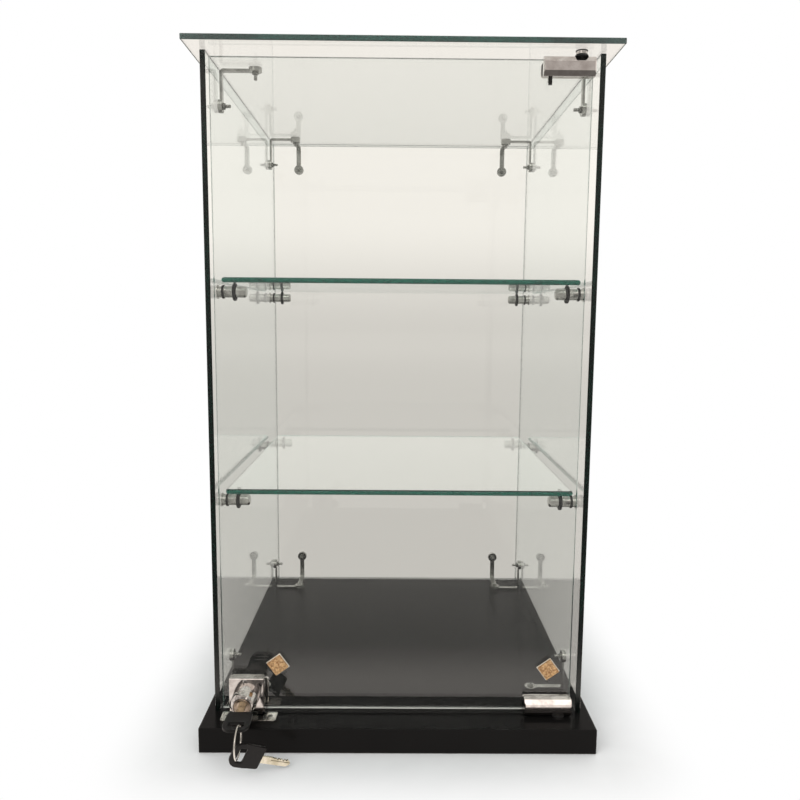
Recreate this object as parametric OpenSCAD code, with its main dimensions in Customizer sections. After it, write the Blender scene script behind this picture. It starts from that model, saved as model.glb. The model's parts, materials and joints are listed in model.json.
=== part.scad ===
// Countertop display case: glass panels on a laminated board, held by L brackets, with two
// shelves on bonded pins, and a hinged glass door with clamp hinges, a key lock and two keys.
// Millimetres. +X right, +Y back, +Z up, origin at the centre of the board's underside.

/* [Case] */
// Width over the outer faces of the side panels
case_w = 362; // [320:1:420]
// Depth of the side panels
case_d = 366; // [340:1:440]
// Height of the side panels
case_h = 624; // [560:1:760]
// Thickness of every glass panel
glass_t = 5; // [4:0.5:6]
// Ground corner along every panel edge
arris = 0.4; // [0.2:0.1:0.6]

/* [Base board] */
// Thickness of the board
base_t = 25; // [22:1:40]
// How far the board shows outside each side panel
base_side = 9; // [4:1:20]
// How far the board runs in front of the side panels
base_front = 30; // [26:1:60]
// How far the board runs behind the back panel
base_back = 4; // [2:1:20]
// Chamfer on the board's laminate edges
base_edge = 0.8; // [0.4:0.1:2]

/* [Top glass] */
// Overhang of the top beyond each side panel
top_side = 10.5; // [2:0.5:20]
// Overhang of the top in front of the side panels
top_front = 23.5; // [5:0.5:30]
// Overhang of the top behind the back panel
top_back = 13; // [2:0.5:20]

/* [Shelves] */
// Height of the upper shelf's top face above the board
upper_shelf_h = 425.5; // [320:0.5:480]
// Height of the lower shelf's top face above the board
lower_shelf_h = 221.4; // [140:0.2:280]
// Gap between a shelf and each side panel
shelf_side_gap = 6; // [3:0.5:8]
// Gap between the door glass and the shelves
shelf_front_gap = 10; // [8:1:30]
// Gap between the shelves and the back panel
shelf_back_gap = 31; // [10:1:60]
// Corner radius of a shelf
shelf_corner_r = 5; // [4:0.5:20]

/* [Shelf pins] */
// Diameter of a shelf pin
pin_d = 11; // [8:0.5:14]
// Length of a shelf pin from the glass
pin_l = 28; // [24:1:40]
// Distance of the front pins behind the shelf's front edge
pin_front_in = 14; // [10:1:60]
// Distance of the rear pins in front of the shelf's back edge
pin_back_in = 10; // [10:1:60]
// Diameter of a pin's bonded foot
pin_foot_d = 13.5; // [12:0.5:16]
// Thickness of a pin's bonded foot
pin_foot_t = 1; // [0.5:0.1:2]
// Rounding of a pin's free end
pin_nose_r = 2.5; // [1:0.5:4]
// Diameter of the rubber ring that carries the shelf
big_ring_d = 17; // [15:0.5:22]
// Thickness of the rubber ring that carries the shelf
big_ring_t = 2.6; // [1.5:0.1:4]
// Distance of that ring's middle from the glass
big_ring_at = 16.5; // [12:0.5:20]
// Diameter of the rubber stop ring
small_ring_d = 13; // [12:0.5:16]
// Thickness of the rubber stop ring
small_ring_t = 2; // [1:0.1:3]
// Distance of the stop ring's middle from the glass
small_ring_at = 5.5; // [4:0.5:8]

/* [Corner brackets] */
// Distance from the glass to the eye at the far end of each arm
bracket_arm = 35.5; // [28:0.5:45]
// Width of the bracket strip
strip_w = 6; // [4:0.5:8]
// Thickness of the bracket strip
strip_t = 2.5; // [1.5:0.1:3]
// Outer radius of the bend
bend_r = 4; // [3.2:0.1:6]
// Diameter of a bracket eye and of a bonded disc
eye_d = 12.5; // [10:0.5:15]
// Thickness of a bonded disc
disc_t = 1.5; // [1:0.1:2.5]
// Diameter of a threaded stud
stud_d = 3; // [2:0.5:4]
// Length of a stud from the glass
stud_l = 11.5; // [11:0.5:14]
// Chamfer on a stud's free end
stud_edge = 0.5; // [0.2:0.1:0.8]
// Width of a nut across its flats
nut_af = 5.5; // [5:0.5:8]
// Height of a nut
nut_h = 2.2; // [1.5:0.1:2.5]
// Distance of the front brackets behind the side panels' front edges
bracket_front_in = 50; // [40:1:120]
// Diameter of a base screw's head
screw_head_d = 6.4; // [5:0.2:9]
// Height of a base screw's head
screw_head_h = 2; // [1.5:0.1:3]
// Depth of the screw holes in the board
screw_depth = 14; // [8:1:18]
// Room left in those holes under the screws
screw_room = 1; // [0.5:0.5:2]

/* [Door] */
// Gap between the door and the left panel
door_gap_l = 2.8; // [2:0.1:5]
// Gap between the door and the right panel
door_gap_r = 6; // [4:0.1:8]
// Gap between the door and the board
door_gap_b = 3.5; // [3:0.1:5]
// Gap between the door and the top
door_gap_t = 5.3; // [5:0.1:8]
// Diameter of the screw holes in the door glass
glass_hole_d = 7; // [6:0.5:9]

/* [Hinges] */
// Width of a hinge block
hinge_w = 46; // [40:1:60]
// Height of a hinge block
hinge_h = 16.6; // [15:0.2:24]
// Depth of a hinge block in front of its pad
hinge_t = 9; // [8:0.5:12]
// Height of the bevels along a hinge block's top and bottom
hinge_bevel = 4.2; // [2:0.1:5]
// How deep those bevels reach back from its front
hinge_bevel_in = 2.6; // [1:0.1:4]
// Chamfer at the ends of a hinge block's front
hinge_end = 1; // [0.3:0.1:2]
// Chamfer on the rear corners of a hinge block
hinge_cut = 1.6; // [0.5:0.1:3]
// How much lower than its block a pad or a rear plate is, at its top and at its bottom
hinge_plate_in = 2.2; // [0:0.1:2.6]
// Distance of the pivot from the door's right edge
pivot_in = 12.5; // [9:0.5:14]
// Diameter of a pivot pin
pivot_d = 5; // [3:0.5:5]
// Depth of a pivot pin in its block
pivot_depth = 10; // [6:0.5:14]
// How far the upper block stays below the door's top edge
upper_hinge_drop = 0; // [0:0.1:1]
// How far the lower block reaches below the door's bottom edge
lower_hinge_drop = 2.2; // [0:0.1:2.6]
// Diameter of the black washers
washer_d = 12.4; // [10:0.2:15]
// Thickness of the upper washer
upper_washer_t = 1.8; // [1:0.1:2]
// How much narrower the upper washer is at its top
upper_washer_taper = 1.6; // [0:0.2:2]
// Thickness of the lower washer
lower_washer_t = 0.6; // [0.4:0.1:0.7]
// Outer diameter of the upper cup
cup_d = 10; // [8.5:0.5:13]
// Thickness of the bonding pad on the upper cup
cup_pad_t = 0.8; // [0.4:0.1:1]
// How far the bonding pad shows around the cup
cup_pad_over = 0.3; // [0:0.1:1]
// Gap over and under a pivot pin's end
pin_end_gap = 0.3; // [0.2:0.1:1]
// Outer diameter of the lower bush
bush_d = 9; // [8:0.5:11]
// Depth of the lower bush in the board
bush_depth = 11; // [8:0.5:16]
// Thickness of the lower bush's floor
bush_floor = 1.5; // [1:0.1:3]
// Thickness of the rubber pads on both faces of the door
pad_t = 0.8; // [0.5:0.1:1.5]
// Thickness of the rear plates
plate_t = 3; // [2:0.1:4]
// Corner radius of the rear plates
plate_r = 2.5; // [1:0.5:4]
// Diameter of a clamp screw
clamp_d = 4; // [3:0.5:5]
// Diameter of a clamp screw's countersunk head
clamp_head_d = 7; // [6:0.2:8]
// Distance of the first clamp screw from a block's left end
clamp_in = 14; // [11:0.5:15]
// Distance between a block's two clamp screws
clamp_pitch = 10; // [8:0.5:11]
// Front wall left beyond a clamp screw's threaded hole
clamp_wall = 2; // [1.5:0.1:3]
// Room left in that hole beyond the screw's tip
clamp_room = 0.5; // [0.2:0.1:1]
// Diameter of the set screw under the upper block
set_screw_d = 3.5; // [2.5:0.5:4]
// Distance of the set screw from the block's left end
set_screw_in = 6.5; // [5:0.5:8]
// How far the set screw hangs out of the block
set_screw_out = 6.9; // [0:0.1:8]
// Room left in its hole above the set screw
set_screw_room = 0.2; // [0.2:0.1:1]

/* [Lock] */
// Width of the lock housing
lock_w = 33.8; // [32:0.2:40]
// Height of the lock housing
lock_h = 33.4; // [32:0.2:40]
// Depth of the lock housing in front of its pad
lock_t = 10; // [9.5:0.5:14]
// Chamfer on the housing's rear corners
lock_bevel = 2.8; // [1:0.1:3]
// How far the lock's pads and rear plate stay below the housing's top
lock_pad_drop = 6.4; // [5:0.1:6.6]
// Chamfer round the housing's front face
lock_edge = 0.6; // [0.3:0.1:1]
// Distance of the housing from the door's left edge
lock_in = 8.8; // [6:0.2:20]
// Height of the housing above the door's bottom edge
lock_up = 2.7; // [2:0.1:5]
// Diameter of the barrel where it meets the housing
barrel_d = 25.5; // [22:0.5:28]
// Diameter of the barrel at its front rim
barrel_rim_d = 18.6; // [18:0.2:21]
// How far the barrel stands out of the housing
barrel_l = 22; // [14:0.5:26]
// Width of the small lug over the barrel
lug_w = 4; // [2:0.5:6]
// Height of that lug
lug_h = 3; // [1:0.5:4]
// How far the lug stands out of the housing
lug_l = 1; // [0.5:0.1:3]
// Distance of the lug's middle to the left of the barrel's
lug_left = 1.2; // [0:0.1:3]
// Diameter of the turning core
core_d = 16.5; // [14:0.5:16.5]
// Depth of the core's face behind its rim
core_recess = 0.5; // [0.2:0.1:1]
// Width of the core's rim
core_rim = 2; // [1:0.1:3]
// Chamfer on the core's rim
core_edge = 0.6; // [0.2:0.1:1]
// Thickness of the housing behind the core
core_wall = 2; // [1:0.1:3]
// How far the rear plate is wider than the housing at each side
lock_plate_over = 2; // [0:0.5:4]
// Distance of the clamp screws from the housing's sides
lock_screw_in = 4.4; // [4:0.1:5]
// Distance of the clamp screws below the housing's top
lock_screw_drop = 10.6; // [10.2:0.1:11]
// Wall between the bolt and the housing's right side
bolt_wall = 1.7; // [1.2:0.1:2.5]
// Width of the bolt
bolt_w = 5; // [4:0.2:5.2]
// Depth of the bolt, front to back
bolt_d = 5.5; // [4:0.1:6]
// Length of the bolt
bolt_l = 22; // [16:0.5:24]
// How far the bolt shows below the housing when it is drawn back
bolt_out = 3.8; // [2:0.1:3.8]
// Travel of the bolt
bolt_throw = 6; // [3:0.5:6]
// Room left in the board under the thrown bolt
bolt_room = 4.4; // [1:0.2:6]
// Chamfer on the bolt's edges
bolt_edge = 0.4; // [0.2:0.1:0.8]

/* [Strike plate] */
// Length of the strike plate
strike_w = 54; // [50:1:60]
// Depth of the strike plate, front to back
strike_d = 17.2; // [16:0.2:20]
// Thickness of the strike plate
strike_t = 1.2; // [0.8:0.1:1.4]
// Corner radius of the strike plate
strike_r = 3; // [1:0.5:5]
// Distance between the strike plate's screws
strike_pitch = 41; // [40:0.5:44]
// How far the plate's middle lies to the right of the barrel's
strike_right = 1.9; // [1:0.1:3]
// How far the plate's middle lies in front of the bolt's
strike_ahead = 3.8; // [3:0.1:4.6]
// Diameter of a strike screw
strike_screw_d = 3; // [2:0.5:3.5]
// Length of the cross slot in a strike screw
cross_l = 3.6; // [2:0.2:4]
// Width and depth of the cross slot
cross_w = 0.6; // [0.4:0.1:0.8]

/* [Keys] */
// Greatest width of a key head
bow_w = 24.4; // [23:0.2:30]
// Width of a key head where the blade leaves it
bow_neck_w = 22.6; // [18:0.2:24]
// How far a key head's middle lies beside its blade's, towards the cut edge
bow_right = 1.2; // [0:0.1:2]
// Length of a key head
bow_l = 30; // [27:0.5:34]
// Corner radius at a key head's free end
bow_end_r = 9; // [6:0.5:11]
// Corner radius at a key head's widest place
bow_side_r = 5; // [3:0.5:8]
// Corner radius where the blade leaves the head
bow_neck_r = 2; // [1:0.5:4]
// Thickness of a key head
bow_t = 2.7; // [2.4:0.1:3.5]
// Length of the slot in a key head
slot_l = 14.6; // [12:0.2:16]
// Corner radius of the slot
slot_r = 1.5; // [0.5:0.1:3]
// Plastic left between the slot and the head's free end
slot_rim = 6; // [4.5:0.1:7]
// Width of a key blade
blade_w = 7; // [6:0.2:8]
// Thickness of a key blade
blade_t = 1.9; // [1.5:0.1:2.2]
// Length of a key blade outside its head
blade_l = 29; // [24:0.5:30]
// Length of a key blade's tip
blade_tip_l = 3; // [2:0.5:5]
// Width of a key blade's blunt end
blade_end_w = 1.6; // [1:0.1:3]
// Width of the groove along each face of a blade
groove_w = 1.1; // [0.6:0.1:1.6]
// Depth of that groove
groove_t = 0.5; // [0.2:0.1:0.7]
// Distance of the two grooves from each other
groove_apart = 0.9; // [0.5:0.1:2]
// Blade left showing between the lock and the key head
blade_out = 9.2; // [6:0.2:12]
// Outer diameter of the wire ring
wire_ring_d = 30; // [28:0.5:32]
// Diameter of the ring's wire
wire_d = 1.4; // [1:0.1:1.6]
// How far the ring's middle hangs beyond the middle of the rim
ring_shift = 1.5; // [1:0.1:2]
// Distance of the ring to the right of the barrel's middle
ring_right = 4.2; // [0:0.1:5]
// Distance of the ring's place in the spare head from the slot's middle
spare_ring_side = 2.8; // [0:0.1:5]
// Distance of that place from the rim's edge
spare_ring_in = 1.8; // [1.2:0.1:3.2]

/* [Cork pads] */
// Side of a cork pad
cork_w = 15; // [10:0.5:20]
// Thickness of a cork pad
cork_t = 2.4; // [1:0.1:4]
// Thickness of the film behind a cork pad
film_t = 0.3; // [0.2:0.1:0.6]
// How far the film shows around the cork
film_over = 0.8; // [0.2:0.1:2]
// Distance of the left pad's middle from the door's left edge
cork_left_in = 54.9; // [50:0.1:80]
// Distance of the right pad's middle from the door's right edge
cork_right_in = 22.4; // [15:0.1:40]
// Height of the left pad's middle above the door's bottom edge
cork_left_up = 45.8; // [30:0.1:80]
// Height of the right pad's middle above the door's bottom edge
cork_right_up = 42.3; // [40:0.1:80]
// Turn of the pads
cork_turn = -36; // [-45:1:45]
// Chamfer on the pads' edges
cork_edge = 0.3; // [0.1:0.1:0.6]

/* [Clearances] */
// Radial clearance of a shaft that turns in its bore
run_fit = 0.08; // [0.05:0.01:0.1]
// Radial clearance of a piece that stays put in its hole
set_fit = 0.05; // [0.02:0.01:0.1]
// Gap where one piece rests loosely on another or slides past it
rest_gap = 0.2; // [0.1:0.05:0.3]
// Gap between the back panel and each side panel
seam = 0.3; // [0.1:0.1:1]
// Gap round the bolt in the strike plate and in the board
bolt_gap = 0.8; // [0.4:0.1:1]
// Gap between the wire ring and a key head
ring_gap = 0.3; // [0.1:0.1:0.4]

/* [Hidden] */
$fn = 48;
e = 0.02;

// Case
base_w = case_w + 2 * base_side;
base_d = base_front + case_d + base_back;
side_out = case_w / 2;
side_in = side_out - glass_t;
front_y = base_front - base_d / 2;
rear_y = front_y + case_d;
back_in = rear_y - glass_t;
roof_z = base_t + case_h;

// Door
door_x0 = -side_in + door_gap_l;
door_x1 = side_in - door_gap_r;
door_z0 = base_t + door_gap_b;
door_z1 = roof_z - door_gap_t;
door_back = front_y + glass_t;
pad_front = front_y - pad_t;
pad_back = door_back + pad_t;
hinge_x = door_x1 - hinge_w;
upper_hinge_z = door_z1 - upper_hinge_drop - hinge_h;
lower_hinge_z = door_z0 - lower_hinge_drop;
pivot_x = door_x1 - pivot_in;
pivot_y = pad_front - hinge_t / 2;
cup_z = door_z1 + upper_washer_t + rest_gap;
bush_top = lower_hinge_z - lower_washer_t - rest_gap;
clamp_tip_y = pad_front - hinge_t + clamp_wall;
clamp_xs = [hinge_x + clamp_in, hinge_x + clamp_in + clamp_pitch];

// Shelves and pins
shelf_x = side_in - shelf_side_gap;
shelf_y0 = door_back + shelf_front_gap;
shelf_y1 = back_in - shelf_back_gap;
pin_ys = [shelf_y0 + pin_front_in, shelf_y1 - pin_back_in];

// Brackets: the eyes on the back panel share their studs' places on the top and the board
eye_x = side_in - bracket_arm;
eye_y = back_in - bracket_arm;
bracket_ys = [front_y + bracket_front_in, eye_y];
top_eye_z = roof_z - bracket_arm;
base_eye_z = base_t + bracket_arm;

// Lock
lock_x0 = door_x0 + lock_in;
lock_x = lock_x0 + lock_w / 2;
lock_z0 = door_z0 + lock_up;
lock_z = lock_z0 + lock_h / 2;
lock_front = pad_front - lock_t;
core_front = lock_front - barrel_l;
bore_r = core_d / 2 + run_fit;
core_end = pad_front - core_wall;
bolt_x = lock_x0 + lock_w - bolt_wall - bolt_w / 2;
bolt_y = pad_front - lock_t / 2;
bolt_z0 = lock_z0 - bolt_out;
pocket_z = bolt_z0 - bolt_throw - bolt_room;
lock_screw_z = lock_z0 + lock_h - lock_screw_drop;
lock_screw_xs = [lock_x0 + lock_screw_in, lock_x0 + lock_w - lock_screw_in];
strike_x = lock_x + strike_right;
strike_y = bolt_y - strike_ahead;
strike_screw_xs = [strike_x - strike_pitch / 2, strike_x + strike_pitch / 2];

// Keys: the ring hangs over the rim between the slot and the head's free end
bow_y = core_front - blade_out;
wire_r = wire_d / 2;
ring_r = wire_ring_d / 2 - wire_r;
rim_y = bow_y - bow_l + slot_rim / 2;
ring_x = lock_x + ring_right;
ring_y = rim_y - ring_shift;
ring_drop = sqrt(pow(ring_r - wire_r, 2) - pow(slot_rim / 2 + ring_shift, 2)) - ring_gap;
ring_z = lock_z + bow_t / 2 - ring_drop;
ring_bottom_z = ring_z - ring_r;
strand_y = sqrt(pow(ring_r + wire_r, 2) - pow(ring_drop - bow_t, 2)) - ring_shift;
slot_w = strand_y + ring_gap - slot_rim / 2;
keyway_w = blade_w + 2 * set_fit;
keyway_t = blade_t + 2 * set_fit;
// Cuts of a blade: their depths, the land between them, and each one's four corners along its pitch
cut_depths = [0.6, 1.5, 0.9, 1.9, 1.2];
cut_land = 0.3;
cut_start = 2;
cut_steps = [0, 0.28, 0.62, 0.9];
cut_pitch = (blade_l - blade_out - blade_tip_l - cut_start) / len(cut_depths);
// Turn of the spare key: it hangs on the ring with its tip just over the table
spare_turn = [-67, -64.3, 1];

// A box from the origin to size whose edges all have the chamfer c
module chamfered_box(size, c) {
    intersection() {
        linear_extrude(size[2])
            cut_rect(size[0], size[1], c);
        translate([0, size[1], 0])
            rotate([90, 0, 0])
                linear_extrude(size[1])
                    cut_rect(size[0], size[2], c);
        rotate([90, 0, 90])
            linear_extrude(size[0])
                cut_rect(size[1], size[2], c);
    }
}

// A rectangle from the origin whose corners are cut by c
module cut_rect(w, h, c) {
    polygon([[c, 0], [w - c, 0], [w, c], [w, h - c], [w - c, h], [c, h], [0, h - c], [0, c]]);
}

// The outline from above of a block whose rear lies on y = 0: r cuts its rear corners, c its front ones
module cornered(w, depth, r, c) {
    polygon([[r, 0], [w - r, 0], [w, -r], [w, c - depth], [w - c, -depth], [c, -depth], [0, c - depth],
        [0, -r]]);
}

// A rectangle from the origin with corners of radius r
module round_rect(w, h, r) {
    translate([r, 0])
        square([w - 2 * r, h]);
    translate([0, r])
        square([w, h - 2 * r]);
    for (x = [r, w - r], y = [r, h - r])
        translate([x, y])
            circle(r);
}

// Board

module base_board() {
    color([0.13, 0.125, 0.12])
        difference() {
            translate([-base_w / 2, -base_d / 2, 0])
                chamfered_box([base_w, base_d, base_t], base_edge);
            for (x = [-eye_x, eye_x], y = bracket_ys)
                translate([x, y, base_t - screw_depth])
                    cylinder(h = screw_depth + 1, d = stud_d + 2 * set_fit);
            for (x = strike_screw_xs)
                translate([x, strike_y, base_t - screw_depth])
                    cylinder(h = screw_depth + 1, d = strike_screw_d + 2 * set_fit);
            translate([pivot_x, pivot_y, base_t - bush_depth])
                cylinder(h = bush_depth + 1, d = bush_d + 2 * set_fit);
            bolt_hole(pocket_z, base_t + 1);
        }
}

// The space that the bolt needs, between two heights
module bolt_hole(z0, z1) {
    translate([bolt_x - bolt_w / 2 - bolt_gap, bolt_y - bolt_d / 2 - bolt_gap, z0])
        cube([bolt_w + 2 * bolt_gap, bolt_d + 2 * bolt_gap, z1 - z0]);
}

// Glass

module side_glass(side) {
    color([0.55, 0.78, 0.7, 0.35])
        translate([side < 0 ? -side_out : side_in, front_y, base_t])
            chamfered_box([glass_t, case_d, case_h], arris);
}

module left_side_glass() {
    side_glass(-1);
}

module right_side_glass() {
    side_glass(1);
}

module back_glass() {
    color([0.55, 0.78, 0.7, 0.35])
        translate([-side_in + seam, back_in, base_t])
            chamfered_box([2 * (side_in - seam), glass_t, case_h], arris);
}

module top_glass() {
    color([0.5, 0.75, 0.68, 0.35])
        translate([-side_out - top_side, front_y - top_front, roof_z])
            chamfered_box([case_w + 2 * top_side, top_front + case_d + top_back, glass_t], arris);
}

module door_glass() {
    color([0.55, 0.78, 0.7, 0.35])
        difference() {
            translate([door_x0, front_y, door_z0])
                chamfered_box([door_x1 - door_x0, glass_t, door_z1 - door_z0], arris);
            for (x = clamp_xs, z = [upper_hinge_z, lower_hinge_z])
                glass_hole(x, z + hinge_h / 2);
            for (x = lock_screw_xs)
                glass_hole(x, lock_screw_z);
        }
}

module glass_hole(x, z) {
    translate([x, door_back + 1, z])
        rotate([90, 0, 0])
            cylinder(h = glass_t + 2, d = glass_hole_d);
}

// A shelf with polished half-round edges and rounded corners: two plates that cross, and a
// round corner in each place that they leave open
module shelf(height) {
    c = shelf_corner_r;
    r = glass_t / 2;
    depth = shelf_y1 - shelf_y0;
    color([0.45, 0.78, 0.7, 0.4])
        translate([0, shelf_y0, base_t + height - r]) {
            translate([-shelf_x, depth - c, 0])
                rotate([90, 0, 0])
                    linear_extrude(depth - 2 * c)
                        edge_profile(2 * shelf_x, r);
            translate([c - shelf_x, 0, 0])
                rotate([90, 0, 90])
                    linear_extrude(2 * (shelf_x - c))
                        edge_profile(depth, r);
            for (x = [c - shelf_x, shelf_x - c], y = [c, depth - c])
                translate([x, y, 0])
                    rotate_extrude()
                        intersection() {
                            translate([-c, 0])
                                edge_profile(2 * c, r);
                            translate([0, -r])
                                square([c, 2 * r]);
                        }
        }
}

// Section of a plate that is w wide and 2 r thick, with half-round edges
module edge_profile(w, r) {
    translate([r, -r])
        square([w - 2 * r, 2 * r]);
    for (x = [r, w - r])
        translate([x, 0])
            circle(r);
}

module upper_shelf() {
    shelf(upper_shelf_h);
}

module lower_shelf() {
    shelf(lower_shelf_h);
}

// Shelf pins and their rubber rings

// Places children along all four pins of a shelf, with +Z from the glass into the case
module at_pins(height) {
    z = base_t + height - glass_t - big_ring_d / 2;
    for (side = [-1, 1], y = pin_ys)
        translate([side * side_in, y, z])
            rotate([0, -90 * side, 0])
                children();
}

module shelf_pins(height) {
    color([0.75, 0.75, 0.74])
        at_pins(height)
            rotate_extrude() {
                square([pin_foot_d / 2, pin_foot_t]);
                square([pin_d / 2, pin_l - pin_nose_r]);
                square([pin_d / 2 - pin_nose_r, pin_l]);
                translate([pin_d / 2 - pin_nose_r, pin_l - pin_nose_r])
                    intersection() {
                        circle(pin_nose_r);
                        square(pin_nose_r);
                    }
            }
}

// A rubber ring: a flat band with rounded outer edges
module rubber_rings(height, d, t, at) {
    r = t / 4;
    color([0.05, 0.05, 0.05])
        at_pins(height)
            translate([0, 0, at - t / 2])
                rotate_extrude()
                    translate([pin_d / 2 + set_fit, 0]) {
                        band = (d - pin_d) / 2 - set_fit;
                        square([band - r, t]);
                        translate([0, r])
                            square([band, t - 2 * r]);
                        for (y = [r, t - r])
                            translate([band - r, y])
                                circle(r, $fn = 24);
                    }
}

module upper_shelf_pins() {
    shelf_pins(upper_shelf_h);
}

module lower_shelf_pins() {
    shelf_pins(lower_shelf_h);
}

module upper_support_rings() {
    rubber_rings(upper_shelf_h, big_ring_d, big_ring_t, big_ring_at);
}

module lower_support_rings() {
    rubber_rings(lower_shelf_h, big_ring_d, big_ring_t, big_ring_at);
}

module upper_stop_rings() {
    rubber_rings(upper_shelf_h, small_ring_d, small_ring_t, small_ring_at);
}

module lower_stop_rings() {
    rubber_rings(lower_shelf_h, small_ring_d, small_ring_t, small_ring_at);
}

// Corner brackets

// An L bracket on two faces that meet at the origin: it stands off_x from the face x = 0 and
// off_z from the face z = 0, and its eyes lie bracket_arm from each
module bracket(off_x, off_z) {
    difference() {
        union() {
            translate([0, strip_w / 2, 0])
                rotate([90, 0, 0])
                    linear_extrude(strip_w)
                        bracket_line(off_x, off_z);
            translate([off_x, 0, bracket_arm])
                rotate([0, 90, 0])
                    cylinder(h = strip_t, d = eye_d);
            translate([bracket_arm, 0, off_z])
                cylinder(h = strip_t, d = eye_d);
        }
        translate([off_x - 1, 0, bracket_arm])
            rotate([0, 90, 0])
                cylinder(h = strip_t + 2, d = stud_d + 2 * set_fit);
        translate([bracket_arm, 0, off_z - 1])
            cylinder(h = strip_t + 2, d = stud_d + 2 * set_fit);
    }
}

// Side view of the bent strip
module bracket_line(off_x, off_z) {
    translate([off_x, off_z + bend_r])
        square([strip_t, bracket_arm - off_z - bend_r]);
    translate([off_x + bend_r, off_z])
        square([bracket_arm - off_x - bend_r, strip_t]);
    translate([off_x + bend_r, off_z + bend_r])
        intersection() {
            difference() {
                circle(bend_r);
                circle(bend_r - strip_t);
            }
            translate([-bend_r, -bend_r])
                square(bend_r);
        }
}

module bracket_colour() {
    color([0.6, 0.6, 0.59])
        children();
}

module side_brackets_top() {
    bracket_colour()
        for (side = [0, 1], y = bracket_ys)
            mirror([side, 0, 0])
                translate([-side_in, y, roof_z])
                    mirror([0, 0, 1])
                        bracket(disc_t, disc_t);
}

module side_brackets_base() {
    bracket_colour()
        for (side = [0, 1], y = bracket_ys)
            mirror([side, 0, 0])
                translate([-side_in, y, base_t])
                    bracket(disc_t, 0);
}

module back_brackets_top() {
    bracket_colour()
        for (x = [-eye_x, eye_x])
            translate([x, back_in, roof_z])
                rotate([0, 0, -90])
                    mirror([0, 0, 1])
                        bracket(disc_t, disc_t + strip_t);
}

module back_brackets_base() {
    bracket_colour()
        for (x = [-eye_x, eye_x])
            translate([x, back_in, base_t])
                rotate([0, 0, -90])
                    bracket(disc_t, strip_t);
}

// A bonded disc with its threaded stud, along +Z from the glass
module stud() {
    color([0.65, 0.65, 0.64])
        rotate_extrude() {
            square([eye_d / 2, disc_t]);
            polygon([[0, 0], [stud_d / 2, 0], [stud_d / 2, stud_l - stud_edge],
                [stud_d / 2 - stud_edge, stud_l], [0, stud_l]]);
        }
}

// Places children on the studs of the side panels, the back panel and the top
module at_side_studs() {
    for (side = [-1, 1], y = bracket_ys, z = [base_eye_z, top_eye_z])
        translate([side * side_in, y, z])
            rotate([0, -90 * side, 0])
                children();
}

module at_back_studs() {
    for (x = [-eye_x, eye_x], z = [base_eye_z, top_eye_z])
        translate([x, back_in, z])
            rotate([90, 0, 0])
                children();
}

module at_top_studs(ys) {
    for (x = [-eye_x, eye_x], y = ys)
        translate([x, y, roof_z])
            rotate([180, 0, 0])
                children();
}

module side_studs() {
    at_side_studs()
        stud();
}

module back_studs() {
    at_back_studs()
        stud();
}

module top_studs() {
    at_top_studs(bracket_ys)
        stud();
}

// A nut on the eye that lies this high above the glass
module nut(height) {
    translate([0, 0, height])
        difference() {
            cylinder(h = nut_h, d = nut_af / cos(30), $fn = 6);
            translate([0, 0, -1])
                cylinder(h = nut_h + 2, d = stud_d + 2 * set_fit);
        }
}

module bracket_nuts() {
    color([0.55, 0.55, 0.54]) {
        at_side_studs()
            nut(disc_t + strip_t);
        at_back_studs()
            nut(disc_t + strip_t);
        at_top_studs([bracket_ys[0]])
            nut(disc_t + strip_t);
        at_top_studs([bracket_ys[1]])
            nut(disc_t + 2 * strip_t);
    }
}

// The rear screws hold two eyes, the front ones hold one
module base_screws() {
    color([0.6, 0.6, 0.59])
        for (x = [-eye_x, eye_x], i = [0, 1])
            translate([x, bracket_ys[i], base_t])
                rotate_extrude() {
                    seat = (i + 1) * strip_t;
                    translate([0, seat])
                        polygon([[0, 0], [screw_head_d / 2, 0], [screw_head_d / 2, screw_head_h / 2],
                            [screw_head_d / 4, screw_head_h], [0, screw_head_h]]);
                    translate([0, screw_room - screw_depth])
                        square([stud_d / 2, screw_depth - screw_room + seat]);
                }
}

// Pivots

module upper_pivot_pad() {
    color([0.05, 0.05, 0.05])
        translate([pivot_x, pivot_y, roof_z - cup_pad_t])
            cylinder(h = cup_pad_t, d = cup_d + 2 * cup_pad_over);
}

module upper_pivot_cup() {
    color([0.78, 0.78, 0.77])
        translate([pivot_x, pivot_y, cup_z])
            difference() {
                cylinder(h = roof_z - cup_pad_t - cup_z, d = cup_d);
                translate([0, 0, -1])
                    cylinder(h = roof_z - cup_z + 1, d = pivot_d + 2 * run_fit);
            }
}

module upper_pivot_pin() {
    z0 = door_z1 - upper_hinge_drop - pivot_depth;
    color([0.7, 0.7, 0.69])
        translate([pivot_x, pivot_y, z0])
            cylinder(h = roof_z - cup_pad_t - pin_end_gap - z0, d = pivot_d);
}

// The upper washer lies level with the door's top edge and gets narrower upwards
module upper_washer() {
    color([0.05, 0.05, 0.05])
        translate([pivot_x, pivot_y, door_z1])
            difference() {
                cylinder(h = upper_washer_t, d1 = washer_d, d2 = washer_d - upper_washer_taper);
                translate([0, 0, -1])
                    cylinder(h = upper_washer_t + 2, d = pivot_d + 2 * set_fit);
            }
}

module lower_pivot_bush() {
    color([0.7, 0.7, 0.69])
        translate([pivot_x, pivot_y, base_t])
            difference() {
                union() {
                    cylinder(h = bush_top - base_t, d = washer_d);
                    translate([0, 0, -bush_depth])
                        cylinder(h = bush_depth + e, d = bush_d);
                }
                translate([0, 0, bush_floor - bush_depth])
                    cylinder(h = bush_depth + bush_top - base_t, d = pivot_d + 2 * run_fit);
            }
}

module lower_pivot_pin() {
    z0 = base_t - bush_depth + bush_floor + pin_end_gap;
    color([0.7, 0.7, 0.69])
        translate([pivot_x, pivot_y, z0])
            cylinder(h = lower_hinge_z + pivot_depth - z0, d = pivot_d);
}

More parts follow.
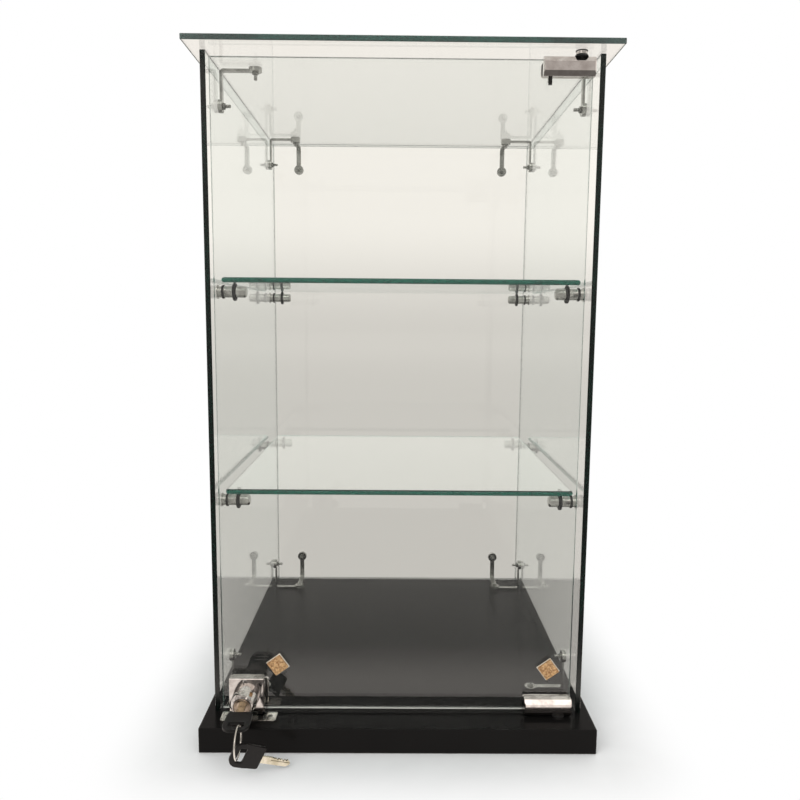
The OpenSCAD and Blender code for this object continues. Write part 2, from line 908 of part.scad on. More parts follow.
module lower_washer() {
    color([0.05, 0.05, 0.05])
        translate([pivot_x, pivot_y, lower_hinge_z - lower_washer_t])
            difference() {
                cylinder(h = lower_washer_t, d = washer_d);
                translate([0, 0, -1])
                    cylinder(h = lower_washer_t + 2, d = pivot_d + 2 * set_fit);
            }
}

// Hinge clamps

// A block with long bevels along its front: its rear face lies on y = 0, and it reaches forward
module hinge_body() {
    back = hinge_bevel_in - hinge_t;
    intersection() {
        rotate([90, 0, 90])
            linear_extrude(hinge_w)
                polygon([[0, 0], [0, hinge_h], [back, hinge_h], [-hinge_t, hinge_h - hinge_bevel],
                    [-hinge_t, hinge_bevel], [back, 0]]);
        linear_extrude(hinge_h)
            cornered(hinge_w, hinge_t, hinge_cut, hinge_end);
    }
}

module hinge_block(z, pivot_at) {
    color([0.66, 0.64, 0.63])
        difference() {
            translate([hinge_x, pad_front, z])
                hinge_body();
            translate([pivot_x, pivot_y, pivot_at])
                cylinder(h = pivot_depth + 1, d = pivot_d + 2 * set_fit);
            for (x = clamp_xs)
                clamp_hole(x, z + hinge_h / 2);
            children();
        }
}

module upper_hinge_block() {
    hinge_block(upper_hinge_z, upper_hinge_z + hinge_h - pivot_depth)
        translate([hinge_x + set_screw_in, pivot_y, upper_hinge_z - 1])
            cylinder(h = hinge_h / 2 - clamp_d / 2, d = set_screw_d + 2 * set_fit);
}

module lower_hinge_block() {
    hinge_block(lower_hinge_z, lower_hinge_z - 1);
}

module upper_set_screw() {
    color([0.3, 0.3, 0.3])
        translate([hinge_x + set_screw_in, pivot_y, upper_hinge_z - set_screw_out])
            cylinder(h = set_screw_out + hinge_h / 2 - clamp_d / 2 - 1 - set_screw_room, d = set_screw_d);
}

// The threaded hole that a clamp screw turns into
module clamp_hole(x, z) {
    translate([x, pad_front + 1, z])
        rotate([90, 0, 0])
            cylinder(h = pad_front + 1 - clamp_tip_y, d = clamp_d + 2 * set_fit);
}

// The clearance hole for a clamp screw through a pad or a plate
module clamp_way(x, z) {
    translate([x, pad_back + plate_t + 1, z])
        rotate([90, 0, 0])
            cylinder(h = 2 * pad_t + glass_t + plate_t + 2, d = clamp_d + 2 * set_fit);
}

// A countersunk clamp screw from the rear plate into the front piece
module clamp_screw(x, z) {
    head_h = (clamp_head_d - clamp_d) / 2;
    color([0.6, 0.6, 0.59])
        translate([x, pad_back + plate_t, z])
            rotate([90, 0, 0]) {
                cylinder(h = head_h, d1 = clamp_head_d, d2 = clamp_d);
                cylinder(h = pad_back + plate_t - clamp_tip_y - clamp_room, d = clamp_d);
            }
}

// The cone under a clamp screw's head, with its clearance
module countersink(x, z) {
    head_h = (clamp_head_d - clamp_d) / 2;
    translate([x, pad_back + plate_t, z])
        rotate([90, 0, 0])
            translate([0, 0, -e])
                cylinder(h = head_h + set_fit, d1 = clamp_head_d + 2 * set_fit, d2 = clamp_d + 2 * set_fit);
}

// A flat sheet against the door, seen from the front as a rounded rectangle
module sheet(x, z, w, h, y, t) {
    translate([x, y + t, z])
        rotate([90, 0, 0])
            linear_extrude(t)
                round_rect(w, h, plate_r);
}

module hinge_pads(z) {
    color([0.04, 0.04, 0.04])
        difference() {
            for (y = [pad_front, door_back])
                sheet(hinge_x, z + hinge_plate_in, hinge_w, hinge_h - 2 * hinge_plate_in, y, pad_t);
            for (x = clamp_xs)
                clamp_way(x, z + hinge_h / 2);
        }
}

module hinge_plate(z) {
    color([0.62, 0.62, 0.61])
        difference() {
            sheet(hinge_x, z + hinge_plate_in, hinge_w, hinge_h - 2 * hinge_plate_in, pad_back, plate_t);
            for (x = clamp_xs) {
                clamp_way(x, z + hinge_h / 2);
                countersink(x, z + hinge_h / 2);
            }
        }
}

module hinge_screws(z) {
    for (x = clamp_xs)
        clamp_screw(x, z + hinge_h / 2);
}

module upper_hinge_pads() {
    hinge_pads(upper_hinge_z);
}

module upper_hinge_plate() {
    hinge_plate(upper_hinge_z);
}

module upper_hinge_screws() {
    hinge_screws(upper_hinge_z);
}

module lower_hinge_pads() {
    hinge_pads(lower_hinge_z);
}

module lower_hinge_plate() {
    hinge_plate(lower_hinge_z);
}

module lower_hinge_screws() {
    hinge_screws(lower_hinge_z);
}

// Lock

// Outline of the barrel from its foot (height 0) to its rim (height barrel_l)
function barrel_side(n) = [for (i = [0:n])
    let (h = barrel_l * i / n, k = sqrt(1 - pow(i / n, 2)))
    [barrel_rim_d / 2 + (barrel_d - barrel_rim_d) / 2 * k, h]];

// Places children with +Z along the core's axis, from the rear towards the front
module on_core_axis(y) {
    translate([lock_x, y, lock_z])
        rotate([90, 0, 0])
            children();
}

module lock_housing() {
    color([0.72, 0.7, 0.69])
        difference() {
            union() {
                translate([lock_x0, pad_front, lock_z0])
                    lock_body();
                on_core_axis(lock_front)
                    rotate_extrude()
                        polygon(concat([[0, -1], [barrel_d / 2, -1]], barrel_side(12), [[0, barrel_l]]));
                translate([lock_x - lug_left - lug_w / 2, lock_front - lug_l, lock_z + barrel_d / 2 - 1])
                    cube([lug_w, lug_l + 1, lug_h + 1]);
            }
            on_core_axis(core_end)
                cylinder(h = core_end - core_front + 1, r = bore_r);
            translate([bolt_x - bolt_w / 2 - rest_gap, bolt_y - bolt_d / 2 - rest_gap, lock_z0 - 1])
                cube([bolt_w + 2 * rest_gap, bolt_d + 2 * rest_gap, bolt_l - bolt_out + 1 + rest_gap]);
            for (x = lock_screw_xs)
                clamp_hole(x, lock_screw_z);
        }
}

// The square front is full size, and the two upright corners behind it are cut
module lock_body() {
    c = lock_edge;
    intersection() {
        linear_extrude(lock_h)
            cornered(lock_w, lock_t, lock_bevel, c);
        rotate([90, 0, 90])
            linear_extrude(lock_w)
                polygon([[0, 0], [c - lock_t, 0], [-lock_t, c], [-lock_t, lock_h - c], [c - lock_t, lock_h],
                    [0, lock_h]]);
    }
}

// The core with its keyway and a crisp rim
module lock_core() {
    length = core_end - rest_gap - core_front;
    r = core_d / 2;
    color([0.6, 0.57, 0.54])
        on_core_axis(core_end - rest_gap)
            difference() {
                rotate_extrude()
                    polygon([[0, 0], [r, 0], [r, length - core_edge], [r - core_edge, length],
                        [r - core_rim, length], [r - core_rim - core_recess, length - core_recess],
                        [0, length - core_recess]]);
                translate([-keyway_w / 2, -keyway_t / 2, length - blade_l + blade_out - 1])
                    cube([keyway_w, keyway_t, blade_l]);
            }
}

module lock_bolt() {
    color([0.06, 0.06, 0.06])
        translate([bolt_x - bolt_w / 2, bolt_y - bolt_d / 2, bolt_z0])
            chamfered_box([bolt_w, bolt_d, bolt_l], bolt_edge);
}

module lock_pads() {
    color([0.04, 0.04, 0.04])
        difference() {
            for (y = [pad_front, door_back])
                sheet(lock_x0, lock_z0, lock_w, lock_h - lock_pad_drop, y, pad_t);
            for (x = lock_screw_xs)
                clamp_way(x, lock_screw_z);
        }
}

module lock_plate() {
    color([0.62, 0.62, 0.61])
        difference() {
            sheet(lock_x0 - lock_plate_over, lock_z0, lock_w + 2 * lock_plate_over,
                lock_h - lock_pad_drop, pad_back, plate_t);
            for (x = lock_screw_xs) {
                clamp_way(x, lock_screw_z);
                countersink(x, lock_screw_z);
            }
        }
}

module lock_screws() {
    for (x = lock_screw_xs)
        clamp_screw(x, lock_screw_z);
}

module strike_plate() {
    color([0.72, 0.7, 0.66])
        difference() {
            translate([strike_x - strike_w / 2, strike_y - strike_d / 2, base_t])
                linear_extrude(strike_t)
                    round_rect(strike_w, strike_d, strike_r);
            for (x = strike_screw_xs)
                translate([x, strike_y, base_t - e])
                    cylinder(h = strike_t + 2 * e, d1 = strike_screw_d + 2 * set_fit,
                        d2 = strike_screw_d + 2 * strike_t + 2 * set_fit);
            bolt_hole(base_t - 1, base_t + strike_t + 1);
        }
}

module strike_screws() {
    color([0.55, 0.55, 0.53])
        for (x = strike_screw_xs)
            translate([x, strike_y, base_t])
                difference() {
                    union() {
                        cylinder(h = strike_t, d1 = strike_screw_d, d2 = strike_screw_d + 2 * strike_t);
                        translate([0, 0, screw_room - screw_depth])
                            cylinder(h = screw_depth - screw_room + e, d = strike_screw_d);
                    }
                    for (turn = [0, 90])
                        rotate(turn)
                            translate([-cross_l / 2, -cross_w / 2, strike_t - cross_w])
                                cube([cross_l, cross_w, 1]);
                }
}

// Keys

// A key lies flat with its blade along +Y: the head ends and the blade starts at y = 0
module bow() {
    color([0.09, 0.085, 0.08])
        translate([bow_right, 0, -bow_t / 2])
            difference() {
                linear_extrude(bow_t)
                    hull() {
                        for (side = [-1, 1]) {
                            translate([side * (bow_neck_w / 2 - bow_neck_r), -bow_neck_r])
                                circle(bow_neck_r, $fn = 24);
                            translate([side * (bow_w / 2 - bow_end_r), bow_end_r - bow_l])
                                circle(bow_end_r, $fn = 64);
                            translate([side * (bow_w / 2 - bow_side_r), -bow_l / 2])
                                circle(bow_side_r, $fn = 32);
                        }
                    }
                translate([-slot_l / 2, slot_rim - bow_l, -1])
                    linear_extrude(bow_t + 2)
                        round_rect(slot_l, slot_w, slot_r);
            }
}

// The cut edge of a blade: each cut has its own depth, and they share the edge behind the tip
function blade_edge() = [for (i = [0:len(cut_depths) - 1], k = [0:3])
    [blade_w / 2 - (k == 0 || k == 3 ? cut_land : cut_depths[i]),
        blade_out + cut_start + (i + cut_steps[k]) * cut_pitch]];

module blade() {
    color([0.78, 0.74, 0.62])
        translate([0, 0, -blade_t / 2])
            difference() {
                linear_extrude(blade_t)
                    polygon(concat(
                        [[-blade_w / 2, 0], [blade_w / 2, 0], [blade_w / 2, blade_out + cut_start / 2]],
                        blade_edge(),
                        [[blade_w / 2 - cut_land, blade_l - blade_tip_l], [blade_end_w / 2, blade_l],
                            [-blade_end_w / 2, blade_l], [-blade_w / 2, blade_l - blade_tip_l]]));
                translate([-groove_apart / 2 - groove_w, blade_out, blade_t - groove_t])
                    cube([groove_w, blade_l, 1]);
                translate([groove_apart / 2, blade_out, groove_t - 1])
                    cube([groove_w, blade_l, 1]);
            }
}

module key_head() {
    translate([lock_x, bow_y, lock_z])
        bow();
}

module key_blade() {
    translate([lock_x, bow_y, lock_z])
        blade();
}

module key_ring() {
    color([0.7, 0.68, 0.64])
        translate([ring_x, ring_y, ring_z])
            rotate([0, 90, 0])
                rotate_extrude($fn = 96)
                    translate([ring_r, 0])
                        circle(wire_r, $fn = 24);
}

// The point of the slot at which the wire passes comes to the bottom of the ring
module on_ring() {
    translate([ring_x, ring_y, ring_bottom_z])
        rotate(spare_turn)
            translate([spare_ring_side - bow_right, bow_l - slot_rim - spare_ring_in, 0])
                children();
}

module spare_key_head() {
    on_ring()
        bow();
}

module spare_key_blade() {
    on_ring()
        blade();
}

// Cork pads on the front of the door

module at_corks() {
    for (p = [[door_x0 + cork_left_in, door_z0 + cork_left_up],
        [door_x1 - cork_right_in, door_z0 + cork_right_up]])
        translate([p[0], front_y, p[1]])
            rotate([90, cork_turn, 0])
                children();
}

module cork_film() {
    color([0.85, 0.83, 0.78])
        at_corks()
            translate([-cork_w / 2 - film_over, -cork_w / 2 - film_over, 0])
                cube([cork_w + 2 * film_over, cork_w + 2 * film_over, film_t]);
}

module cork_pads() {
    color([0.72, 0.5, 0.3])
        at_corks()
            translate([-cork_w / 2, -cork_w / 2, film_t])
                chamfered_box([cork_w, cork_w, cork_t], cork_edge);
}

base_board();
left_side_glass();
right_side_glass();
back_glass();
top_glass();
upper_shelf();
lower_shelf();
upper_shelf_pins();
lower_shelf_pins();
upper_support_rings();
lower_support_rings();
upper_stop_rings();
lower_stop_rings();
side_brackets_top();
side_brackets_base();
back_brackets_top();
back_brackets_base();
side_studs();
back_studs();
top_studs();
bracket_nuts();
base_screws();
upper_pivot_pad();
upper_pivot_cup();
lower_pivot_bush();
strike_plate();
strike_screws();
door_glass();
upper_hinge_block();
upper_hinge_pads();
upper_hinge_plate();
upper_hinge_screws();
upper_set_screw();
upper_pivot_pin();
upper_washer();
lower_hinge_block();
lower_hinge_pads();
lower_hinge_plate();
lower_hinge_screws();
lower_pivot_pin();
lower_washer();
lock_housing();
lock_pads();
lock_plate();
lock_screws();
cork_film();
cork_pads();
lock_bolt();
lock_core();
key_blade();
key_head();
key_ring();
spare_key_blade();
spare_key_head();
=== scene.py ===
# %% [markdown]
# # A countertop display case
# This lesson dresses a glass display case: 5 mm panes on a black board, chrome brackets bonded
# to the glass, two shelves on pins, and a hinged door with clamp hinges, a lock and two keys.
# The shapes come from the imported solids. What Blender adds is the surface: glass that bends
# light and is green along its edges, plated metal, rubber, cork, and the small forms, such as
# threads and sockets, that are too fine for the solids.

# %% Load the solids
import json
import math

import bmesh
import bpy
from mathutils import Matrix, Vector

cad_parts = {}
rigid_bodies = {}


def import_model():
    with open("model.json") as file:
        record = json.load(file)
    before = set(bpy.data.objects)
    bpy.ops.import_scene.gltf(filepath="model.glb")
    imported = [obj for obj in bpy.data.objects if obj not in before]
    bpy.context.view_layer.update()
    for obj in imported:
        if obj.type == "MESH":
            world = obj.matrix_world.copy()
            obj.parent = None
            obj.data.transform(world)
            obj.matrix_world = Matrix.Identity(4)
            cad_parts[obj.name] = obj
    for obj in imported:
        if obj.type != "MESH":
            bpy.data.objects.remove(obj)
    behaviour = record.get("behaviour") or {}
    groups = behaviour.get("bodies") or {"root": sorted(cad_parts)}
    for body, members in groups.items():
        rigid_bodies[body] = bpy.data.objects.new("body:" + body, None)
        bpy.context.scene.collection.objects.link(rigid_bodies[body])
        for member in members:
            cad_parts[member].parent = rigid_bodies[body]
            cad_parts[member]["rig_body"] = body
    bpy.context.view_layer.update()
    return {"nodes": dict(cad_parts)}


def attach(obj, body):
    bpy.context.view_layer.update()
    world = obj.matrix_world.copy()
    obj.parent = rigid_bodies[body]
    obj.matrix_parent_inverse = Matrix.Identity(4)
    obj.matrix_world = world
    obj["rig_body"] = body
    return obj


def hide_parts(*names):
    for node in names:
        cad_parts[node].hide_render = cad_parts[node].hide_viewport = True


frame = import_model()
MM = 0.001

# %% [markdown]
# ## The camera
# The photograph was taken from straight in front, a little above the middle of the case and
# tipped down by 7 degrees. Its place and lens were solved from the edges of the real case, so
# the camera is written as a point, three small turns and a focal length.

# %% Set the camera
EYE = Vector((-5.15, -841.67, 418.51)) * MM
YAW, PITCH, ROLL = (math.radians(angle) for angle in (0.40, 6.92, 0.46))
SENSOR_MM, LENS_MM = 36, 32.38
NEAREST, FARTHEST = 0.02, 60

forward = Vector((
    math.sin(YAW) * math.cos(PITCH), math.cos(YAW) * math.cos(PITCH), -math.sin(PITCH)))
level = Vector((math.cos(YAW), -math.sin(YAW), 0))
upright = level.cross(forward)
right = math.cos(ROLL) * level + math.sin(ROLL) * upright
up = math.cos(ROLL) * upright - math.sin(ROLL) * level
turn = Matrix((right, up, -forward)).transposed().to_4x4()

camera = bpy.data.objects.new("camera", bpy.data.cameras.new("camera"))
camera.data.sensor_width, camera.data.lens = SENSOR_MM, LENS_MM
camera.data.clip_start, camera.data.clip_end = NEAREST, FARTHEST
camera.matrix_world = Matrix.Translation(EYE) @ turn
bpy.context.scene.collection.objects.link(camera)
bpy.context.scene.camera = camera
print("camera looks along", [round(c, 3) for c in forward])

# %% [markdown]
# ## Two small helpers
# Colours are written as the hex values that one would pick from a picture, and one function
# turns them to the linear numbers that Blender mixes. The other adds a node, to a material or
# to Geometry Nodes, with its settings and its links, so that each recipe reads as a list. An
# input that is given a whole node is linked to the first output that this node has in use.

# %% Colour and node helpers
def linear(hex_code):
    """sRGB hex colour as linear RGBA."""
    parts = [int(hex_code[i:i + 2], 16) / 255 for i in (0, 2, 4)]
    return (*[p / 12.92 if p <= 0.04045 else ((p + 0.055) / 1.055) ** 2.4 for p in parts], 1)


def add(tree, kind, inputs=None, stops=(), **settings):
    """A new node: its settings, the stops of a colour ramp, then a link or value per input."""
    node = tree.nodes.new(kind)
    for name, value in settings.items():
        setattr(node, name, value)
    for i, (place, hex_code) in enumerate(stops):
        node.color_ramp.elements[i].position = place
        node.color_ramp.elements[i].color = linear(hex_code)
    for key, value in (inputs or {}).items():
        if isinstance(value, bpy.types.Node):
            value = next(output for output in value.outputs if output.enabled)
        if isinstance(value, bpy.types.NodeSocket):
            tree.links.new(value, node.inputs[key])
        else:
            node.inputs[key].default_value = value
    return node


print("the hex grey 808080 is", round(linear("808080")[0], 3), "in linear light")

# %% [markdown]
# ## A finish with a drift and a relief
# No real surface has one colour and one gloss. In each finish here, a noise makes the colour
# and the roughness drift together, and the same noise or a finer one stands up as a relief.
# The noise reads the piece's own coordinates, so that it moves with the piece, and its size is
# given in millimetres.

# %% Build a mottled finish
TONES_AT = (0.35, 0.65)
ROUGH_AT = (0.3, 0.7)


def start(name):
    """An empty material and its node tree."""
    material = bpy.data.materials.new(name)
    material.use_nodes = True
    material.node_tree.nodes.clear()
    return material, material.node_tree


def noise(tree, size_mm, detail=3.0, rough=0.5, stretch=(1, 1, 1)):
    """Noise on the piece's own coordinates, with features about size_mm across."""
    place = add(tree, "ShaderNodeTexCoord")
    stretched = add(tree, "ShaderNodeMapping", {
        "Vector": place.outputs["Object"], "Scale": stretch})
    return add(tree, "ShaderNodeTexNoise", {
        "Vector": stretched, "Scale": 1 / (size_mm * MM), "Detail": detail, "Roughness": rough})


def mottled(name, drift, tones, rough, relief=None, relief_mm=0, tones_at=TONES_AT,
            rough_at=ROUGH_AT, metallic=0.0, specular=0.5):
    """A finish that drifts between two tones and two roughnesses.

    drift and relief hold the settings of a noise. tones_at and rough_at are the values of the
    drift between which the change takes place. relief_mm is how high the relief stands.
    """
    material, tree = start(name)
    mottle = noise(tree, **drift)
    colour = add(tree, "ShaderNodeValToRGB", {"Fac": mottle}, stops=zip(tones_at, tones))
    roughness = add(tree, "ShaderNodeMapRange", {"Value": mottle,
        "From Min": rough_at[0], "From Max": rough_at[1], "To Min": rough[0], "To Max": rough[1]})
    shell = add(tree, "ShaderNodeBsdfPrincipled", {"Base Color": colour, "Roughness": roughness,
        "Metallic": metallic, "Specular IOR Level": specular})
    if relief:
        height = mottle if relief is drift else noise(tree, **relief)
        normal = add(tree, "ShaderNodeBump", {
            "Height": height, "Distance": relief_mm * MM, "Strength": 1.0})
        tree.links.new(normal.outputs["Normal"], shell.inputs["Normal"])
    add(tree, "ShaderNodeOutputMaterial", {"Surface": shell})
    return material


# %% [markdown]
# ## Float glass
# The panes are common float glass. A 5 mm pane hardly tints what is behind it, but light that
# runs along the inside of a pane passes a third of a metre of it, and comes out dark green at
# the edge. That green is the absorption of the body, which takes red most. The cut edges of the
# side panes, door, back and top are finished by grinding, which frosts them a little, and the
# shelves have theirs polished. On top of the green, the side panes' edges are painted near
# black, a painted shade, and the shelves' edges are painted a bright teal, a painted glow. A
# pane's edge is where its normal turns away from the pane's own axis, so each direction of pane
# has its material. Lamps shine through a pane almost undimmed, so rays towards a lamp see it as
# clear.

# %% Make the glass
GLASS_IOR = 1.52
GREEN_SHARE, BLUE_SHARE = 0.49, 0.56  # loss of green and blue as a share of red's
BODY_TINT = (0, 1 - GREEN_SHARE, 1 - BLUE_SHARE, 1)
FACE_TINT = (0.98, 0.985, 0.98, 1)
SHADOW_TINT = (0.94, 0.96, 0.95, 1)
FACE_COSINE, EDGE_COSINE = 0.95, 0.55  # between the normal and the pane's axis
WAVES = {"size_mm": 60, "detail": 1}
WAVE_MM, WAVE_STRENGTH = 0.02, 0.3


def float_glass(name, axis, red_loss, edge_tint_and_painted_light, edge_haze_and_painted_light, haze_and_painted_light_share, edge_rough):
    """Clear faces across the axis, and edges that are tinted, frosted and painted with light.

    red_loss is the loss of red per metre, as a natural logarithm. The two edge tones tint the
    edge and also paint it: a painted shade on the side panes and a painted glow on the shelves.
    The diffuse colour is the edge's frost, which carries that painted shade and glow as well,
    and its share says how much of the edge it takes.
    """
    material, tree = start(name)
    place = add(tree, "ShaderNodeTexCoord")
    facing = add(tree, "ShaderNodeVectorMath", {0: place.outputs["Normal"], 1: axis},
        operation="DOT_PRODUCT")
    flat = add(tree, "ShaderNodeMath", {0: facing}, operation="ABSOLUTE")
    edge = add(tree, "ShaderNodeMapRange", {
        "Value": flat, "From Min": FACE_COSINE, "From Max": EDGE_COSINE})
    rough = add(tree, "ShaderNodeMath", {0: edge, 1: edge_rough}, operation="MULTIPLY")
    share = add(tree, "ShaderNodeMath", {0: edge, 1: haze_and_painted_light_share}, operation="MULTIPLY")
    waves = noise(tree, **WAVES)
    # The edge tones also paint light: a painted shade on the side panes, a painted glow on the
    # shelves.
    cut = add(tree, "ShaderNodeValToRGB", {"Fac": waves}, stops=zip(TONES_AT, edge_tint_and_painted_light))
    tint = add(tree, "ShaderNodeMix", {"Factor": edge, "A": FACE_TINT, "B": cut},
        data_type="RGBA")
    ripple = add(tree, "ShaderNodeBump", {
        "Height": waves, "Distance": WAVE_MM * MM, "Strength": WAVE_STRENGTH})
    shell = add(tree, "ShaderNodeBsdfPrincipled", {"Base Color": tint, "Roughness": rough,
        "IOR": GLASS_IOR, "Transmission Weight": 1.0, "Normal": ripple})
    # The edge's diffuse frost carries a painted shade on the side panes and a painted glow on the
    # shelves.
    edge_frost_and_painted_light = add(tree, "ShaderNodeBsdfDiffuse", {"Color": linear(edge_haze_and_painted_light)})
    frosted_and_painted_edge = add(tree, "ShaderNodeMixShader", {"Fac": share, 1: shell, 2: edge_frost_and_painted_light})
    clear = add(tree, "ShaderNodeBsdfTransparent", {"Color": SHADOW_TINT})
    rays = add(tree, "ShaderNodeLightPath")
    pane = add(tree, "ShaderNodeMixShader", {
        "Fac": rays.outputs["Is Shadow Ray"], 1: frosted_and_painted_edge, 2: clear})
    body = add(tree, "ShaderNodeVolumeAbsorption", {"Density": red_loss, "Color": BODY_TINT})
    add(tree, "ShaderNodeOutputMaterial", {"Surface": pane, "Volume": body})
    return material


# The side panes' edges are painted near black, a painted shade on top of the green of the glass.
side_glass = float_glass("ground_glass_side_painted_dark_edges", (1, 0, 0), 9,
    edge_tint_and_painted_light=("101A16", "2A3E37"), edge_haze_and_painted_light="1E332C", haze_and_painted_light_share=0.06, edge_rough=0.25)
front_glass = float_glass("ground_glass_front", (0, 1, 0), 8,
    edge_tint_and_painted_light=("C9D3CD", "FFFFFF"), edge_haze_and_painted_light="7C8C84", haze_and_painted_light_share=0.2, edge_rough=0.25)
top_glass = float_glass("ground_glass_top", (0, 0, 1), 9,
    edge_tint_and_painted_light=("B9C6C2", "FFFFFF"), edge_haze_and_painted_light="66706C", haze_and_painted_light_share=0.3, edge_rough=0.25)
# The shelves' edges are painted bright teal: the real green of the glass, brightened by a painted
# glow.
shelf_glass = float_glass("polished_glass_shelf_painted_glow_edges", (0, 0, 1), 7,
    edge_tint_and_painted_light=("18DCC4", "34E8D2"), edge_haze_and_painted_light="127060", haze_and_painted_light_share=0.35, edge_rough=0.12)
print("made 4 kinds of glass")

# %% [markdown]
# ## Plated metal
# The lock and the hinges are zinc castings with chrome plate: bright, nearly mirror-like, with a
# faint grain where the casting shows through. The brackets and pins are plated steel, a little
# duller. One recipe makes them all: a metal colour, a fine grain as relief, and a roughness
# that drifts where hands and rubber have left the plate less bright.

# %% Make the metals
STAINS = {"size_mm": 9, "detail": 4}
BRIGHTEST, DULLEST = 0.7, 1.5  # times the metal's own roughness


def plated_metal(name, colour, shade, rough, grain_mm, grain_depth_mm):
    """Metal with stains that dull it and a fine grain."""
    grain = {"size_mm": grain_mm, "detail": 4, "rough": 0.6}
    return mottled(name, STAINS, (colour, shade), (rough * BRIGHTEST, rough * DULLEST),
        grain, grain_depth_mm, metallic=1.0)


chrome = plated_metal("chrome_plated_zinc", "E2DEDB", "C9C3BF", 0.09, 0.7, 0.006)
cast_chrome = plated_metal("polished_zinc_casting", "CCC8C5", "ADA8A4", 0.08, 2.4, 0.03)
strip_chrome = plated_metal("chrome_plated_steel_strip", "C0C0BC", "9C9C98", 0.13, 0.6, 0.004)
steel = plated_metal("zinc_plated_steel", "A4A4A0", "7F7F7A", 0.3, 0.5, 0.008)
nickel = plated_metal("nickel_plated_steel", "E2E0DA", "C4C1BA", 0.18, 0.6, 0.006)
core_nickel = plated_metal("turned_nickel_silver", "B9A999", "8C7E71", 0.22, 0.5, 0.008)
key_brass = plated_metal("nickel_plated_brass", "DDD8C8", "BDB6A0", 0.2, 0.5, 0.008)
black_steel = plated_metal("blackened_steel", "3A3A39", "232322", 0.35, 0.6, 0.01)
print("made 8 metals")

# %% [markdown]
# ## The black board
# The base is chipboard with a satin black laminate. It is darkest seen from above and greys at
# a low angle, where its sheen takes over. The pressed grain is finer than a pixel, so it is
# left to the roughness, and faint wipe marks, longer front to back, make that roughness drift.

# %% Make the laminate
WIPE_MARKS = {"size_mm": 70, "detail": 4, "stretch": (1, 0.35, 1)}
laminate = mottled("satin_laminate", WIPE_MARKS, ("100F0F", "181716"), (0.18, 0.3),
    tones_at=(0, 1), rough_at=(0, 1), specular=0.06)
print("made", laminate.name)

# %% [markdown]
# ## Rubber, plastic, film and cork
# The rings and pads are matte black rubber. The key heads are moulded plastic with a fine spark
# texture, worn grey-brown here and there. The cork pads are pressed granules in two browns, and
# the film under them is a cloudy white plastic.

# %% Make the soft and moulded finishes
DUST = {"size_mm": 2.5, "detail": 4}
WEAR = {"size_mm": 5, "detail": 6, "rough": 0.65}
SPARK = {"size_mm": 0.45, "detail": 2}
CLOUD = {"size_mm": 4, "detail": 3}
GRANULES = {"size_mm": 1.7, "detail": 5, "rough": 0.75}


def pressed_cork(name, dark, pale):
    """Rough, crumbly granules between two browns."""
    return mottled(name, GRANULES, (dark, pale), (0.75, 0.95), GRANULES, 0.15,
        tones_at=(0.4, 0.6))


rubber = mottled("black_rubber", DUST, ("151515", "242423"), (0.5, 0.7), DUST, 0.03)
plastic = mottled("moulded_black_plastic", WEAR, ("0C0B0B", "1F1C1A"), (0.38, 0.55), SPARK, 0.03,
    tones_at=(0.5, 0.75), specular=0.22)
film = mottled("adhesive_film", CLOUD, ("EDE8DC", "D8CFBE"), (0.3, 0.5))
cork = pressed_cork("pressed_cork", "8A5C33", "DDB480")
cork_grain = pressed_cork("cork_granules", "94633A", "E6C494")
print("made rubber, plastic, film and cork")

# %% [markdown]
# ## Dress the solids
# Most solids already have the right shape, so they only get a finish. Where an edge catches the
# light on the real piece, a sharp edge gives the model away: those solids are copied, the
# copy's loose triangles are merged, and a Bevel modifier rounds the edges, by a few tenths of a
# millimetre on sheet metal and by a millimetre on the hinge castings. The copy then replaces
# the solid and moves with the same body. Faces that meet at less than 31 degrees are shaded as
# one, which is just under the angle of the long bevels of the hinge blocks.

# %% Copy a solid with rounded edges
SHARP = math.radians(31)
SAME_PLACE_MM = 0.002
SAME_PLANE = math.radians(0.5)


def link(name, mesh):
    """A new piece in the scene."""
    piece = bpy.data.objects.new(name, mesh)
    bpy.context.scene.collection.objects.link(piece)
    return piece


def stand_for(piece, nodes):
    """The piece rides on its nodes' body and replaces them."""
    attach(piece, frame["nodes"][nodes[0]]["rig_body"])
    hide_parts(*nodes)


def shade_smooth(mesh):
    """Shades the mesh smooth, except across its sharp edges."""
    mesh.polygons.foreach_set("use_smooth", [True] * len(mesh.polygons))
    mesh.set_sharp_from_angle(angle=SHARP)


def rounded_copy(node, width_mm, material):
    """Replaces a node by a copy with its sharp edges rounded."""
    mesh = frame["nodes"][node].data.copy()
    mesh.name = node + "_rounded"
    shape = bmesh.new()
    shape.from_mesh(mesh)
    bmesh.ops.remove_doubles(shape, verts=shape.verts, dist=SAME_PLACE_MM * MM)
    bmesh.ops.dissolve_limit(
        shape, angle_limit=SAME_PLANE, verts=shape.verts, edges=shape.edges)
    shape.to_mesh(mesh)
    shape.free()
    mesh.materials.clear()
    mesh.materials.append(material)
    shade_smooth(mesh)
    piece = link(node + "_rounded", mesh)
    edge = piece.modifiers.new("rounded edges", "BEVEL")
    edge.width = width_mm * MM
    edge.segments = 2
    edge.limit_method = "ANGLE"
    edge.angle_limit = SHARP
    edge.harden_normals = True
    stand_for(piece, [node])


